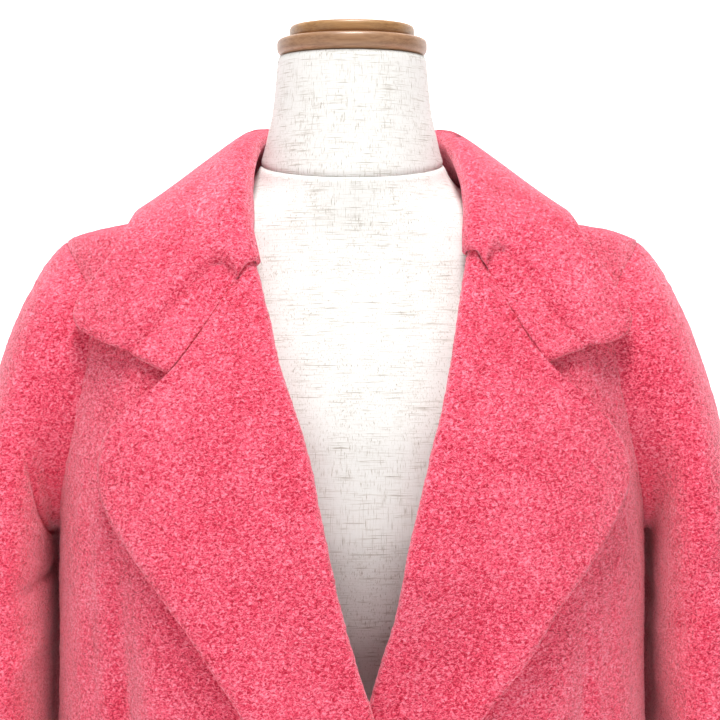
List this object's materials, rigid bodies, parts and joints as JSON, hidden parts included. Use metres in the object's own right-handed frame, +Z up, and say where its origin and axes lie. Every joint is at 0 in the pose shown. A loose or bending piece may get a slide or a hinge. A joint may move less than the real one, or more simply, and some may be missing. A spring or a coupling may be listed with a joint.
{
  "type": "tweed jacket on a limbless dress form with stand",
  "caption": "Wide-lapelled looped-wool jacket with open sleeves, worn by a limbless linen dress form with a wooden neck cap on a low round stand.",
  "frame": {"origin": "centre of the stand's underside, on the surface it stands on", "axes": "+Z up, -Y the front of the garment, +X the wearer's left"},
  "size_m": [0.564, 0.305, 1.0135],
  "materials": {
    "wool": "thick looped wool, pink",
    "button": "satin",
    "linen": "natural slub linen",
    "wood": "oiled",
    "golden_wood": "oiled",
    "stand_metal": "satin"
  },
  "bodies": {
    "root": {"back": "wool", "front_right": "wool", "front_left": "wool", "lapel_right": "wool", "lapel_left": "wool", "collar": "wool", "sleeve_right": "wool", "sleeve_left": "wool", "button": "button", "form_torso": "linen", "form_neck": "linen", "cap_lower": "wood", "cap_upper": "golden_wood", "pole": "stand_metal", "base": "stand_metal"}
  },
  "joints": []
}
